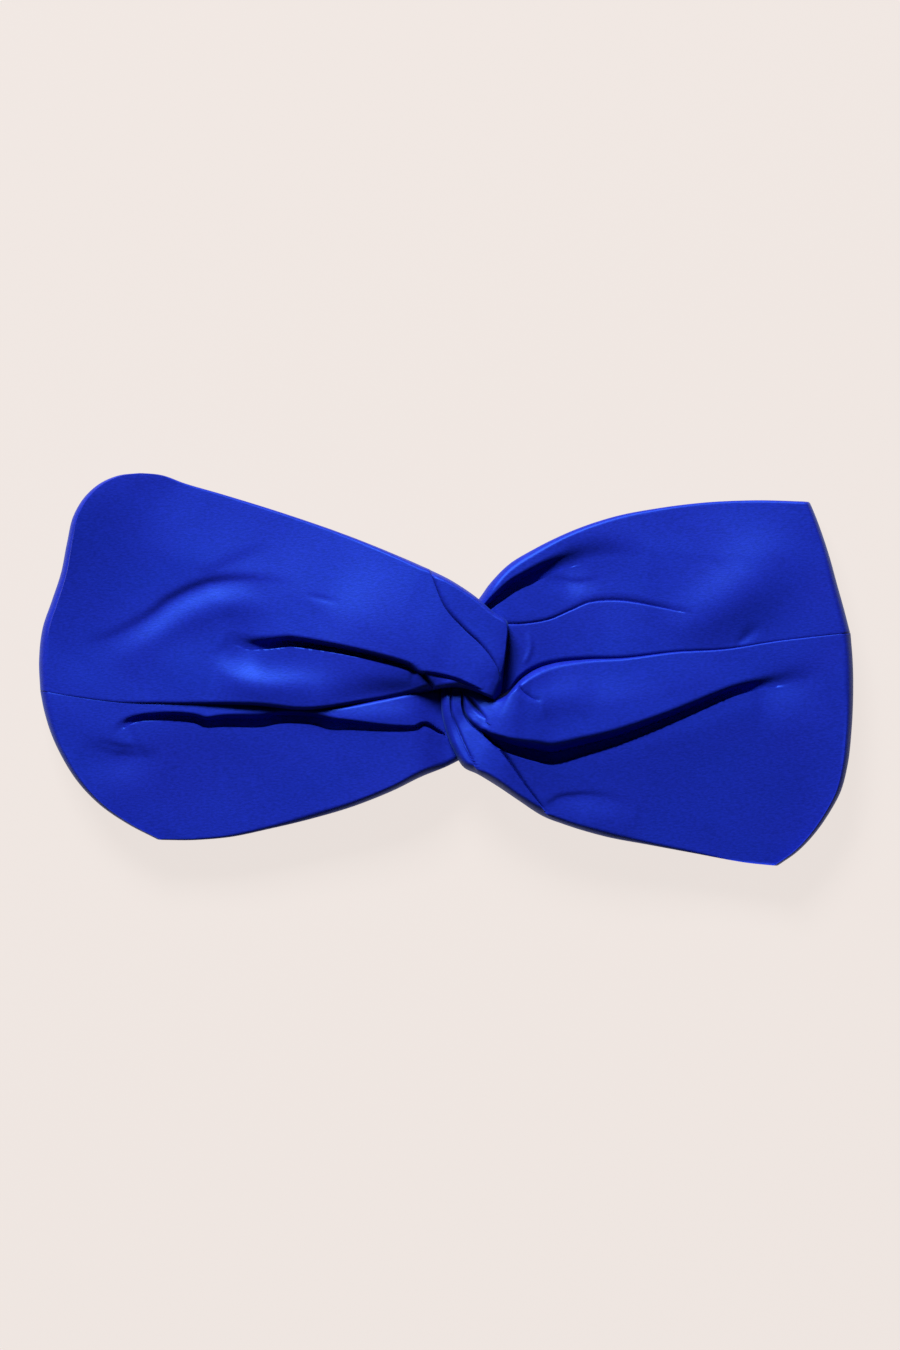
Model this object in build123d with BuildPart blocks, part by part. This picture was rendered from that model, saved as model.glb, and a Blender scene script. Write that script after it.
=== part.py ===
from build123d import *
import math
import os

# Knotted headband laid flat: two padded silk strips hooked through each other at a front twist, and joined
# behind the head by a ruched casing with an elastic inside. Millimetres. +X runs along the band, +Y up the
# front and +Z away from the table, from an origin under the middle of the flattened band.

# Driving dimensions of the two silk strips.
half_length = 125.0  # from the middle of the band to each side fold
half_height = 60.2  # from the middle of the band to the furthest edge of either wing
back_thickness = 2.5  # silk behind the head, lying on the table
loop_gap = 5.0  # free height inside the flattened head loop
front_thickness = 6.0  # padded silk at the front
fold_wall = 4.0  # silk that turns round each side fold
edge_rounding = 1.6
root_overlap = 0.5  # how far each arm's neck runs into its wing
seam_gap = 0.5  # slot between a strip's two arms, closed by its centre seam
pad_inset = 3.2  # edge of an arm to its wadding
pad_thickness = 2.4
pad_clearance = 0.2
pad_corners = 40  # straight sides of each wadding's outline

# The twist: each strip turns back in a half ring that hooks the other strip's, in planes tilted opposite ways.
twist_x, twist_y, twist_z = 9.0, -6.0, 15.5
ring_back = 6.7  # centre of each half ring, behind the middle of the twist
ring_inner = 12.0  # inside radius of a half ring
ring_tilt = 25.0  # degrees between each half ring and the table
ring_sections = 7
strap_apex = 3.6  # half width of the gathered silk where it turns back
strap_arm = 9.0  # half width where it opens out into an arm
strap_depth = 3.1  # half thickness of the gathered silk
strap_rounding = 2.9

# The elastic back.
back_middle_y = twist_y
casing_half_length = 47.5
casing_height = 28.0
casing_thickness = 4.2
casing_lift = 0.4
casing_skin = 1.1
casing_rounding = 1.5
gathered_end = 48.0  # from the middle of the band to each strip's gathered ends
gathered_length = 9.0
gathered_height = 34.0
elastic_height = 23.0
elastic_thickness = 1.6
elastic_tuck = 6.0  # length of elastic held inside each gathered end
elastic_clearance = 0.2

# Threads and label.
thread_size = 0.45
seam_stitch_length, seam_stitch_pitch, seam_stitch_depth = 2.6, 4.0, 1.2
casing_stitch_length, casing_stitch_pitch, casing_stitch_count = 2.2, 3.2, 9
bartack_length, bartack_pitch, bartack_count = 3.0, 0.9, 25
label_length, label_height, label_thickness = 16.0, 26.0, 0.5
label_x, label_y = -84.0, -6.0

# Levels above the table.
front_low = back_thickness + loop_gap
front_top = front_low + front_thickness
front_middle = front_low + front_thickness / 2
casing_middle = casing_lift + casing_thickness / 2
gathered_top = casing_lift + casing_thickness
gathered_outer = gathered_end + gathered_length
gathered_high = back_middle_y + gathered_height / 2
gathered_low = back_middle_y - gathered_height / 2

# Each wing's edges from above, starting at its root beside the twist, and its centre seam from the fold inwards.
WINGS = {
    "left": {
        "side": -1,
        "top": [(-35, 43), (-60, 51), (-94, half_height)],
        "fold": [
            (-94, half_height),
            (-112, 51.5),
            (-118.5, 30),
            (-half_length, 0),
            (-119, -26),
            (-106, -41.5),
            (-87.6, -52),
        ],
        "bottom": [(-87.6, -52), (-60, -50.5), (-35, -44.5)],
        "back_top": [(-94, half_height), (-75, 34), (-gathered_outer, gathered_high)],
        "back_bottom": [(-gathered_outer, gathered_low), (-70, -36), (-87.6, -52)],
        "seam": [(-140, -5.5), (-66, -10.3), (-30, -10.6)],
    },
    "right": {
        "side": 1,
        "top": [(48, 45.5), (72, 50.4), (110, 51.6)],
        "fold": [
            (110, 51.6),
            (118.5, 32),
            (124, 10),
            (half_length, -8),
            (122.5, -32),
            (114, -47.5),
            (102, -half_height),
        ],
        "bottom": [(102, -half_height), (72, -55.6), (48, -51.3)],
        "back_top": [(110, 51.6), (80, 32), (gathered_outer, gathered_high)],
        "back_bottom": [(gathered_outer, gathered_low), (78, -42), (102, -half_height)],
        "seam": [(140, 13.5), (78, 6), (43, 1.7)],
    },
}


def front_face(wing):
    """The wing seen from above, without its seam slot."""
    with BuildSketch() as face:
        with BuildLine():
            Spline(wing["top"])
            Spline(wing["fold"])
            Spline(wing["bottom"])
            Line(wing["bottom"][-1], wing["top"][0])
        make_face()
    return face.sketch


def back_face(wing):
    """The part of the strip that lies behind, tapering from the side fold to its gathered end."""
    with BuildSketch() as face:
        with BuildLine():
            Spline(wing["fold"])
            Spline(wing["back_top"])
            Line(wing["back_top"][-1], wing["back_bottom"][0])
            Spline(wing["back_bottom"])
        make_face()
    return face.sketch


def seam_face(wing):
    """The slot along the wing's centre seam."""
    with BuildSketch() as ribbon:
        with BuildLine():
            for half in (seam_gap / 2, -seam_gap / 2):
                Spline([(x, y + half) for x, y in wing["seam"]])
            for x, y in (wing["seam"][0], wing["seam"][-1]):
                Line((x, y - seam_gap / 2), (x, y + seam_gap / 2))
        make_face()
    return ribbon.sketch


def loop_face(wing):
    """The hollow of the head loop: everything inwards of the side fold's inner face, past both long edges."""
    inner = [(x - wing["side"] * fold_wall, y) for x, y in wing["fold"]]
    beyond = 1.5 * half_height
    with BuildSketch() as hollow:
        with BuildLine():
            Spline(inner)
            Polyline(inner[-1], (inner[-1][0], -beyond), (0, -beyond), (0, beyond), (inner[0][0], beyond), inner[0])
        make_face()
    return hollow.sketch


def pad_face(wing, upper):
    """The outline of the wadding in one of the wing's two arms."""
    with BuildSketch() as arms:
        add(front_face(wing))
        add(seam_face(wing), mode=Mode.SUBTRACT)
    arm = arms.sketch.faces().sort_by(Axis.Y)[-1 if upper else 0]
    edge = offset(arm, amount=-pad_inset, mode=Mode.PRIVATE).face().outer_wire()
    with BuildSketch() as pad:
        with BuildLine():
            Polyline([edge.position_at(corner / pad_corners) for corner in range(pad_corners)], close=True)
        make_face()
    return pad.sketch


def strap_width(angle):
    """Half width of the gathered silk at an angle from the half ring's apex."""
    return strap_apex + (strap_arm - strap_apex) * math.sin(math.radians(angle)) ** 2


def strap_section(wing, angle):
    """The gathered silk's section across a half ring, at an angle from its apex."""
    turn, tilt = math.radians(angle), math.radians(ring_tilt)
    along = Vector(-wing["side"], 0, 0)
    across = Vector(0, -wing["side"] * math.cos(tilt), math.sin(tilt))
    outwards = along * math.cos(turn) + across * math.sin(turn)
    forwards = across * math.cos(turn) - along * math.sin(turn)
    centre = Vector(twist_x + wing["side"] * ring_back, twist_y, twist_z)
    width = strap_width(angle)
    with BuildSketch(Plane(centre + outwards * (ring_inner + width), x_dir=outwards, z_dir=forwards)) as section:
        RectangleRounded(2 * width, 2 * strap_depth, strap_rounding)
    return section.sketch


def arm_root(wing, upper):
    """The section of one arm just inside the wing's root."""
    seam_y = wing["seam"][-1][1]
    edge_y = wing["top"][0][1] if upper else wing["bottom"][-1][1]
    inner_y = seam_y + (seam_gap if upper else -seam_gap)
    root = (wing["top"][0][0] + wing["side"] * root_overlap, (edge_y + inner_y) / 2, front_middle)
    with BuildSketch(Plane(root, x_dir=(0, 1, 0), z_dir=(1, 0, 0))) as section:
        RectangleRounded(abs(edge_y - inner_y) - root_overlap, front_thickness - root_overlap, edge_rounding)
    return section.sketch


os.makedirs("parts", exist_ok=True)

for side_name, wing in WINGS.items():
    side = wing["side"]
    gathered_x = side * (gathered_end + gathered_length / 2)

    # The silk strip: padded wing, side fold, tapering back with its gathered end, and its half of the twist.
    with BuildPart() as band_silk:
        add(front_face(wing))
        extrude(amount=front_top)
        with BuildSketch(Plane.XY.offset(back_thickness)):
            add(loop_face(wing))
        extrude(amount=loop_gap, mode=Mode.SUBTRACT)
        with BuildSketch():
            Rectangle(4 * half_length, 4 * half_height)
            add(back_face(wing), mode=Mode.SUBTRACT)
        extrude(amount=back_thickness, mode=Mode.SUBTRACT)
        with BuildSketch():
            with Locations((gathered_x, back_middle_y)):
                Rectangle(gathered_length, gathered_height)
        extrude(amount=gathered_top)
        with BuildSketch(Plane.YZ.offset(side * (gathered_end + elastic_tuck))):
            with Locations((back_middle_y, casing_middle)):
                Rectangle(elastic_height + 2 * elastic_clearance, elastic_thickness + 2 * elastic_clearance)
        extrude(amount=-side * elastic_tuck, mode=Mode.SUBTRACT)
        for angle in (90, -90):
            loft(sections=[strap_section(wing, angle), arm_root(wing, upper=angle * -side > 0)])
        loft(sections=[strap_section(wing, 90 - 180 * step / (ring_sections - 1)) for step in range(ring_sections)])
        with BuildSketch():
            add(seam_face(wing))
        extrude(amount=front_top, mode=Mode.SUBTRACT)
        with BuildSketch(Plane.XY.offset(front_middle - pad_thickness / 2 - pad_clearance)):
            for upper in (True, False):
                add(offset(pad_face(wing, upper), amount=pad_clearance, kind=Kind.INTERSECTION, mode=Mode.PRIVATE))
        extrude(amount=pad_thickness + 2 * pad_clearance, mode=Mode.SUBTRACT)
    band_silk.part.label = f"{side_name}_band_silk"
    export_step(band_silk.part, f"parts/{side_name}_band_silk.step")

    # Wadding inside each arm.
    for arm_name, upper in (("upper", True), ("lower", False)):
        with BuildPart() as wadding:
            with BuildSketch(Plane.XY.offset(front_middle - pad_thickness / 2)):
                add(pad_face(wing, upper))
            extrude(amount=pad_thickness)
        wadding.part.label = f"{side_name}_{arm_name}_wadding"
        export_step(wadding.part, f"parts/{side_name}_{arm_name}_wadding.step")

    # Stitches along the centre seam, sunk between the two arms.
    seam_line = Edge.make_spline([Vector(x, y) for x, y in wing["seam"]])
    fold_x = side * (half_length - fold_wall)
    root_x = wing["top"][0][0]
    stitch_count = int(abs(fold_x - root_x) / seam_stitch_pitch)
    with BuildPart() as seam_thread:
        for stitch in range(stitch_count):
            stitch_x = root_x + side * seam_stitch_pitch * (stitch + 0.5)
            along = abs(stitch_x - wing["seam"][0][0]) / abs(wing["seam"][-1][0] - wing["seam"][0][0])
            centre, heading = seam_line.position_at(along), seam_line.tangent_at(along)
            lift = Vector(0, 0, front_top - seam_stitch_depth)
            with BuildSketch(Plane(centre + lift, x_dir=heading, z_dir=(0, 0, 1))):
                Rectangle(seam_stitch_length, thread_size)
            extrude(amount=thread_size)
    seam_thread.part.label = f"{side_name}_centre_seam_thread"
    export_step(seam_thread.part, f"parts/{side_name}_centre_seam_thread.step")

    # Stitches that close the casing's end on the gathered silk.
    with BuildPart() as casing_stitches:
        with BuildSketch(Plane.XY.offset(gathered_top)):
            with Locations((side * (gathered_end + thread_size), back_middle_y)):
                with GridLocations(1, casing_stitch_pitch, 1, casing_stitch_count):
                    Rectangle(thread_size, casing_stitch_length)
        extrude(amount=thread_size)
    casing_stitches.part.label = f"{side_name}_casing_stitches"
    export_step(casing_stitches.part, f"parts/{side_name}_casing_stitches.step")

    # Close row of stitches that ties the elastic's tucked end to the gathered silk.
    with BuildPart() as elastic_bartack:
        with BuildSketch(Plane.XY.offset(gathered_top)):
            with Locations((side * (gathered_end + elastic_tuck / 2), back_middle_y)):
                with GridLocations(1, bartack_pitch, 1, bartack_count):
                    Rectangle(bartack_length, thread_size)
        extrude(amount=thread_size)
    elastic_bartack.part.label = f"{side_name}_elastic_bartack"
    export_step(elastic_bartack.part, f"parts/{side_name}_elastic_bartack.step")

# Flattened silk tube between the two gathered ends.
with BuildPart() as elastic_casing:
    with BuildSketch(Plane.YZ.offset(-casing_half_length)):
        with Locations((back_middle_y, casing_middle)):
            RectangleRounded(casing_height, casing_thickness, casing_rounding)
            Rectangle(
                casing_height - 2 * casing_skin,
                casing_thickness - 2 * casing_skin,
                mode=Mode.SUBTRACT,
            )
    extrude(amount=2 * casing_half_length)
elastic_casing.part.label = "elastic_casing"
export_step(elastic_casing.part, "parts/elastic_casing.step")

# Woven elastic through the casing, tucked into both gathered ends.
with BuildPart() as elastic_band:
    with BuildSketch(Plane.XY.offset(casing_middle - elastic_thickness / 2)):
        with Locations((0, back_middle_y)):
            Rectangle(2 * (gathered_end + elastic_tuck - elastic_clearance), elastic_height)
    extrude(amount=elastic_thickness)
elastic_band.part.label = "elastic_band"
export_step(elastic_band.part, "parts/elastic_band.step")

# Blank care label, lying on the inside of the left strip's back.
with BuildPart() as care_label:
    with BuildSketch(Plane.XY.offset(back_thickness)):
        with Locations((label_x, label_y)):
            Rectangle(label_length, label_height)
    extrude(amount=label_thickness)
care_label.part.label = "care_label"
export_step(care_label.part, "parts/care_label.step")
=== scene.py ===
import math

import bpy
import numpy as np
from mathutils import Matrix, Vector


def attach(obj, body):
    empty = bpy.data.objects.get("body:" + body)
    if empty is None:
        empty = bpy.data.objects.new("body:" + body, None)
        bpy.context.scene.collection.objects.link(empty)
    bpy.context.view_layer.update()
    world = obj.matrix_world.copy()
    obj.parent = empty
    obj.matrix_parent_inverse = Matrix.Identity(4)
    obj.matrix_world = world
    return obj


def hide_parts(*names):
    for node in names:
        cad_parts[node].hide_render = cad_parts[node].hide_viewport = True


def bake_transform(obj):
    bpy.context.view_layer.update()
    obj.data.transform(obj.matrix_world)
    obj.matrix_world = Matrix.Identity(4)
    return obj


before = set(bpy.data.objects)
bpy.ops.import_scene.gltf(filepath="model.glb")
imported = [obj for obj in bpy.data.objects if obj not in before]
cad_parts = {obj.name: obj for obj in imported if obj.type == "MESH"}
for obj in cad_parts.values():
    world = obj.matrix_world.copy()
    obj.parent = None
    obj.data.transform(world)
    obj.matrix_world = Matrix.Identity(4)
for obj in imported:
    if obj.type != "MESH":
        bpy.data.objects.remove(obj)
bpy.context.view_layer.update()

# The shapes below are written in millimetres, in the frame's own axes: +X along the band, +Y up the front,
# +Z away from the table. Meshes are made in metres.
MM = 0.001

# Levels of the flattened band, as in the frame.
FRONT_LOW = 7.5  # underside of the front
EDGE = 11.0  # where the front's top and underside meet at an edge
LEAST_TOP = 5.2  # no fold sinks below this
BACK_TOP = 2.6  # top of the back layer, which lies on the table

# Sizes of a silk arm.
FOLD_REACH = 2.2  # how far in from the side fold its round runs
FOLD_INNER = 1.4  # radius of the hollow inside the side fold
FOLD_EASE = 55.0  # how far in along the front the side fold's bulge dies away
BACK_EASE = 40.0  # the same, behind
BACK_ROUND = 1.6  # round of the back's edges
GATHERS = 5  # gathers across the back's end
SEAM_PRESS = 0.3  # how far each arm presses into the other at their seam
LEAST_THICK = 0.9  # between the top and the underside, under a fold
EDGE_THICK = 2.1  # least height of an edge over the underside beside it
LOW_FOLLOW = 1.9  # how many times as fast as a lifted edge the underside rises
SIDE_CLOSE = 0.4  # where the ends of a side fold close, as a share from its hollow to its outside
PAD_CLEAR = 0.25  # between the wadding and the silk

# The silk's mesh.
GRID = 0.6  # spacing of its columns along the front
BACK_GRID = 2.2 * GRID  # the same, behind
ROWS = 136  # rows across an arm

# Creases. The mesh lines beside one are drawn in to it.
DRAWN_REACH = 3.0  # how far out they are drawn in from
DRAWN_NEAREST = 0.6  # how far out the nearest of them are
DRAWN_CLOSE = 0.03  # how far out those are once drawn in
CREST_REACH = 8.0  # how far back the crest dies away
HANG_REACH = 5.0  # how far back the cloth that hangs over is drawn forward


# ---------------------------------------------------------------- curves and fields


def through(values, at, knots=None):
    """A smooth line through rows of values, read at the places in at, which count in knots."""
    values = np.asarray(values, float)
    knots = np.arange(len(values), dtype=float) if knots is None else np.asarray(knots, float)
    at = np.clip(np.asarray(at, float), knots[0], knots[-1])
    step = np.diff(knots)[:, None]
    slope = np.diff(values, axis=0) / step
    between = (slope[:-1] * step[1:] + slope[1:] * step[:-1]) / (step[1:] + step[:-1])
    tangent = np.vstack([slope[:1], between, slope[-1:]])
    k = np.clip(np.searchsorted(knots, at, side="right") - 1, 0, len(knots) - 2)
    h = (knots[k + 1] - knots[k])[:, None]
    u = (at - knots[k])[:, None] / h
    return (
        (2 * u**3 - 3 * u**2 + 1) * values[k]
        + (u**3 - 2 * u**2 + u) * h * tangent[k]
        + (3 * u**2 - 2 * u**3) * values[k + 1]
        + (u**3 - u**2) * h * tangent[k + 1]
    )


def finely(points, steps):
    """A smooth line through points, with that many steps from each to the next."""
    spans = len(points) - 1
    return through(points, np.linspace(0, spans, steps * spans + 1))


def row_at(rows, along):
    """The row of values at each place along, in proportion between the two rows beside it."""
    k = np.clip(along.astype(int), 0, len(rows) - 2)
    part = (along - k)[:, None]
    return rows[k] * (1 - part) + rows[k + 1] * part


def lengths(points):
    """Distance along a line of points, from its start."""
    return np.concatenate([[0], np.cumsum(np.linalg.norm(np.diff(points, axis=0), axis=1))])


def smoothly(u):
    """An even step from 0 to 1 as u goes from 0 to 1."""
    u = np.clip(u, 0, 1)
    return u * u * (3 - 2 * u)


def nearest(path, plan):
    """For each point of plan: how far it is from path, positive on its left, and its place along path."""
    start, run = path[:-1], np.diff(path, axis=0)
    best = np.full(len(plan), np.inf)
    side, along = np.zeros(len(plan)), np.zeros(len(plan))
    for k in range(len(run)):
        offset = plan - start[k]
        place = np.clip(offset @ run[k] / (run[k] @ run[k]), 0, 1)
        gap = offset - place[:, None] * run[k]
        distance = np.hypot(gap[:, 0], gap[:, 1])
        nearer = distance < best
        best[nearer] = distance[nearer]
        side[nearer] = np.sign(run[k][0] * offset[:, 1] - run[k][1] * offset[:, 0])[nearer]
        along[nearer] = (k + place)[nearer]
    return best * side, along


class Crease:
    """A fold line in the silk. Its points are (x, y, depth, width). On the left of the line the cloth
    rolls down within width to the fold's floor; floor is the share of width that the floor takes. On
    the right the cloth drops to it within edge, and hangs over it by hang. crest is how far the cloth
    is raised on the right beside the line, and lift how far on the left beside the roll, dying away
    over reach. Where the fold is shallower than crisp it softens into a dip, soft wide on its right."""

    def __init__(
        self, points, edge=0.15, hang=0.5, floor=0.4, crest=0.0, lift=0.0, reach=20.0, crisp=2.0, soft=6.0
    ):
        self.points, self.edge, self.hang, self.floor = points, edge, hang, floor
        self.crest, self.lift, self.reach, self.crisp, self.soft = crest, lift, reach, crisp, soft

    def press(self, plan, top):
        """Marks the cloth: changes the plan places and the top levels in place."""
        dense = finely(self.points, 12)
        distance, along = nearest(dense[:, :2], plan)
        here = row_at(dense, along)
        depth, width = np.maximum(here[:, 2], 0), np.maximum(here[:, 3], 0.1)
        k = np.clip(along.astype(int), 0, len(dense) - 2)
        run = dense[k + 1, :2] - dense[k, :2]
        run /= np.linalg.norm(run, axis=1)[:, None]
        towards = np.stack([-run[:, 1], run[:, 0]], 1)
        strength = smoothly(depth / self.crisp)
        # The mesh line nearest the fold line on each side is drawn in to it, so that its edge is clean and
        # crisp, and the lines beyond it are spread evenly over the room that is left.
        apart = np.abs(distance)
        spread_out = (apart - DRAWN_NEAREST) * (DRAWN_REACH - DRAWN_CLOSE) / (DRAWN_REACH - DRAWN_NEAREST)
        pulled = np.where(apart < DRAWN_NEAREST, 0.05 * apart, DRAWN_CLOSE + spread_out)
        pull = np.clip(4.0 * strength, 0, 1)
        near = np.where(apart < DRAWN_REACH, apart + (pulled - apart) * pull, apart)
        if self.edge < 0.5:
            back_drawn = -near - self.edge * pull * (1 - smoothly(apart / DRAWN_REACH))
        else:
            # A broad edge needs its mesh lines across it, so they are drawn in less.
            back_drawn = -apart * (1 - 0.6 * pull * np.clip(1 - apart / DRAWN_REACH, 0, 1))
        drawn = np.where(distance >= 0, near, back_drawn)
        climb = np.clip((drawn / width - self.floor) / (1 - self.floor), 0, 1)
        back = np.clip(1 + drawn / self.edge, 0, 1)
        sunk = 1 - np.sqrt(climb * (2 - climb))
        edged = 1 - np.sqrt(np.clip(1 - back**2, 0, 1))
        # Where the fold is shallow it is a soft dip instead.
        sunk = strength * sunk + (1 - strength) * (1 - smoothly(drawn / width))
        edged = strength * edged + (1 - strength) * (1 - smoothly(-drawn / self.soft))
        top -= depth * np.where(distance >= 0, sunk, edged)
        behind = np.clip(-drawn, 0, None)
        share = self.share_along(plan) * smoothly(depth)
        top += self.crest * share * (1 - edged) * np.exp(-behind / CREST_REACH) * (distance < 0)
        top += self.lift * share * np.exp(-((drawn / self.reach) ** 2)) * (1 - sunk) * (distance >= 0)
        over = self.hang * strength * smoothly(behind / 0.12) * (1 - smoothly(behind / HANG_REACH))
        plan += towards * (drawn - distance + over)[:, None]

    def share_along(self, plan):
        """How much of the crest and the lift there is at each place: it follows the fold's depth, read
        along the straight line between the fold's ends and smoothed."""
        marks = np.array(self.points, float)
        chord = marks[-1, :2] - marks[0, :2]
        length = np.linalg.norm(chord)
        marks_along = (marks[:, :2] - marks[0, :2]) @ chord / length
        along = np.arange(-12.0, length + 12.0, 0.5)
        depths = marks[:, 2] / marks[:, 2].max()
        # None where the fold is under a quarter of its greatest depth, and all of it at the greatest.
        share = np.interp(along, marks_along, np.clip(depths / 0.75 - 1 / 3, 0, 1))
        bell = np.exp(-((np.arange(-12, 13) / 6.0) ** 2))
        share = np.convolve(share, bell / bell.sum(), mode="same")
        return np.interp((plan - marks[0, :2]) @ chord / length, along[12:-12], share[12:-12])


class Tilt:
    """A facet: on the left of its line the cloth falls away, less and less beyond reach. Its points are
    (x, y, slope)."""

    def __init__(self, points, reach=20.0):
        self.points, self.reach = points, reach

    def press(self, plan, top):
        """Lowers the top levels in place. The bend at the line is rounded."""
        dense = finely(self.points, 8)
        distance, along = nearest(dense[:, :2], plan)
        slope = np.interp(along, np.arange(len(dense)), dense[:, 2])
        away = np.clip(distance, 0, None)
        away = np.sqrt(away**2 + 9.0) - 3.0
        top -= slope * self.reach * np.tanh(away / self.reach)


class Swell:
    """A soft ridge, or a soft valley where height is negative. Its points are (x, y, height, width). On
    the right of its line it is wider by the factor below."""

    def __init__(self, points, below=1.0):
        self.points, self.below = points, below

    def press(self, plan, top):
        """Changes the top levels in place."""
        dense = finely(self.points, 8)
        distance, along = nearest(dense[:, :2], plan)
        here = row_at(dense, along)
        width = here[:, 3] * np.where(distance < 0, self.below, 1.0)
        top += here[:, 2] * np.exp(-((distance / width) ** 2))


# ---------------------------------------------------------------- meshes


def mesh_object(name, verts, faces, material):
    """A mesh object from points in millimetres, smooth but for its sharp corners."""
    mesh = bpy.data.meshes.new(name)
    mesh.from_pydata([tuple(v) for v in np.asarray(verts, float) * MM], [], faces)
    mesh.validate()
    mesh.polygons.foreach_set("use_smooth", [True] * len(mesh.polygons))
    mesh.materials.append(material)
    mesh.set_sharp_from_angle(angle=math.radians(60))
    mesh.update()
    piece = bpy.data.objects.new(name, mesh)
    bpy.context.scene.collection.objects.link(piece)
    return piece


def sleeve(outer, inner):
    """Points and faces of a closed flat tube from its outer and inner surfaces, both [column][row],
    whose first and last rows meet."""
    columns, rows = outer.shape[:2]
    points = np.concatenate([outer.reshape(-1, 3), inner[:, 1:-1].reshape(-1, 3)])
    out = np.arange(columns * rows).reshape(columns, rows)
    inn = np.empty((columns, rows), int)
    inn[:, 0], inn[:, -1] = out[:, 0], out[:, -1]
    inn[:, 1:-1] = columns * rows + np.arange(columns * (rows - 2)).reshape(columns, rows - 2)
    faces = []
    for sheet, flip in ((out, False), (inn, True)):
        a, b, c, d = sheet[:-1, :-1], sheet[1:, :-1], sheet[1:, 1:], sheet[:-1, 1:]
        quads = np.stack([a, b, c, d] if not flip else [a, d, c, b], -1).reshape(-1, 4)
        # Steep faces are split along the diagonal that keeps to the fold's edge.
        height = points[quads, 2]
        steep = np.ptp(height, axis=1) > 0.5
        first = np.abs(height[:, 0] - height[:, 2]) < np.abs(height[:, 1] - height[:, 3])
        faces += quads[~steep].tolist()
        halves = (([0, 1, 2], first), ([0, 2, 3], first), ([0, 1, 3], ~first), ([1, 2, 3], ~first))
        for corners, chosen in halves:
            faces += quads[steep & chosen][:, corners].tolist()
    for i, turned in ((0, True), (columns - 1, False)):
        for j in range(rows - 1):
            ring = [out[i, j], out[i, j + 1], inn[i, j + 1], inn[i, j]]
            ring = list(dict.fromkeys(ring[::-1] if turned else ring))
            if len(ring) > 2:
                faces.append([int(v) for v in ring])
    return points, faces


def spread(length):
    """Places of the rows across a width, from 0 to 1, close together beside both edges."""
    # How far in from an edge the rows beside it are. Together they take no more than 0.12 of the width.
    rim = np.array([0, 0.05, 0.15, 0.32, 0.58, 0.95, 1.4])
    count = ROWS - 2 * len(rim)
    rim_share = np.minimum(rim / length, rim / rim[-1] * 0.12)
    middle = np.linspace(rim_share[-1], 1 - rim_share[-1], count + 2)[1:-1]
    return np.concatenate([rim_share, middle, 1 - rim_share[::-1]])


def rounded(v, length, low_round, high_round):
    """How full the tube is across its width: 0 at both edges, rising as a quarter round to 1."""
    low = np.clip(v * length / low_round, 0, 1)
    high = np.clip((1 - v) * length / high_round, 0, 1)
    return np.sqrt(np.clip(1 - (1 - low) ** 2, 0, 1)) * np.sqrt(np.clip(1 - (1 - high) ** 2, 0, 1))


def lowest_near(levels, reach):
    """The lowest level within reach rows and columns of each point."""
    for axis in (0, 1):
        padding = [(reach, reach) if a == axis else (0, 0) for a in (0, 1)]
        wide = np.pad(levels, padding, mode="edge")
        count = levels.shape[axis]
        levels = np.min([np.take(wide, range(k, k + count), axis) for k in range(2 * reach + 1)], axis=0)
    return levels


def uneven(plan, lie):
    """The slight waviness of cloth that lies flat."""
    x, y = plan[:, 0], plan[:, 1]
    return (
        0.10 * np.sin(x / 7.3 + y / 12.0 + 5 * lie + 1.9 * np.sin(y / 9.0 + lie))
        + 0.05 * np.sin(y / 5.1 - x / 31.0 + 3 * lie + 2.3 * np.sin(x / 12.0 - lie))
        + 0.012 * np.sin(x / 1.9 + y / 2.6 + 2.6 * np.sin(y / 6.0 + x / 17.0 + lie))
    )


def pressed_to_seam(ribs, fold, seam_low):
    """The ribs and the fold line of an arm, moved a little past its strip's seam, where the two arms
    press together. seam_low says that the seam is at the low end of the ribs."""
    ribs, fold = np.array(ribs, float), np.array(fold, float)
    widths = ribs[:, 2:4] - ribs[:, :2]
    press = widths / np.linalg.norm(widths, axis=1)[:, None] * SEAM_PRESS
    if seam_low:
        ribs[:, :2] -= press
        fold[0] = ribs[0, :2]
    else:
        ribs[:, 2:4] += press
        fold[-1] = ribs[0, 2:4]
    return ribs, fold


def front_layers(front_row, places, folds, lie):
    """The top and the underside of an arm's front at the places given, with the marks of its folds."""
    plans, tops, lows, edges, fulls = [], [], [], [], []
    for place in places:
        plan, v, length, rib = front_row(place)
        edge = rib[4] + (rib[5] - rib[4]) * v
        plans.append(plan)
        tops.append(np.full(ROWS, rib[6]))
        edges.append(edge)
        # The underside rises with an edge that is lifted over another arm.
        risen = FRONT_LOW + LOW_FOLLOW * np.clip(edge - EDGE, 0, None)
        lows.append(np.minimum(risen, edge - EDGE_THICK))
        fulls.append(rounded(v, length, rib[7], rib[8]))
    plans, tops, lows, edges, fulls = (np.array(part) for part in (plans, tops, lows, edges, fulls))

    flat_plan = plans.reshape(-1, 2).copy()
    flat_top = tops.reshape(-1) + uneven(flat_plan, lie)
    for mark in folds:
        mark.press(flat_plan, flat_top)
    # The marks leave the arm's own edges where they are.
    pressed = plans + (flat_plan.reshape(plans.shape) - plans) * np.clip(fulls, 0, 1)[:, :, None]
    # A deep fold pushes the underside down with it.
    tops = np.maximum(flat_top.reshape(tops.shape), LEAST_TOP)
    lows = np.minimum(lows, lowest_near(tops, 6) - LEAST_THICK)
    tops = edges + (tops - edges) * fulls
    lows = edges + (lows - edges) * fulls
    return np.dstack([pressed, tops]), np.dstack([plans, lows])


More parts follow.
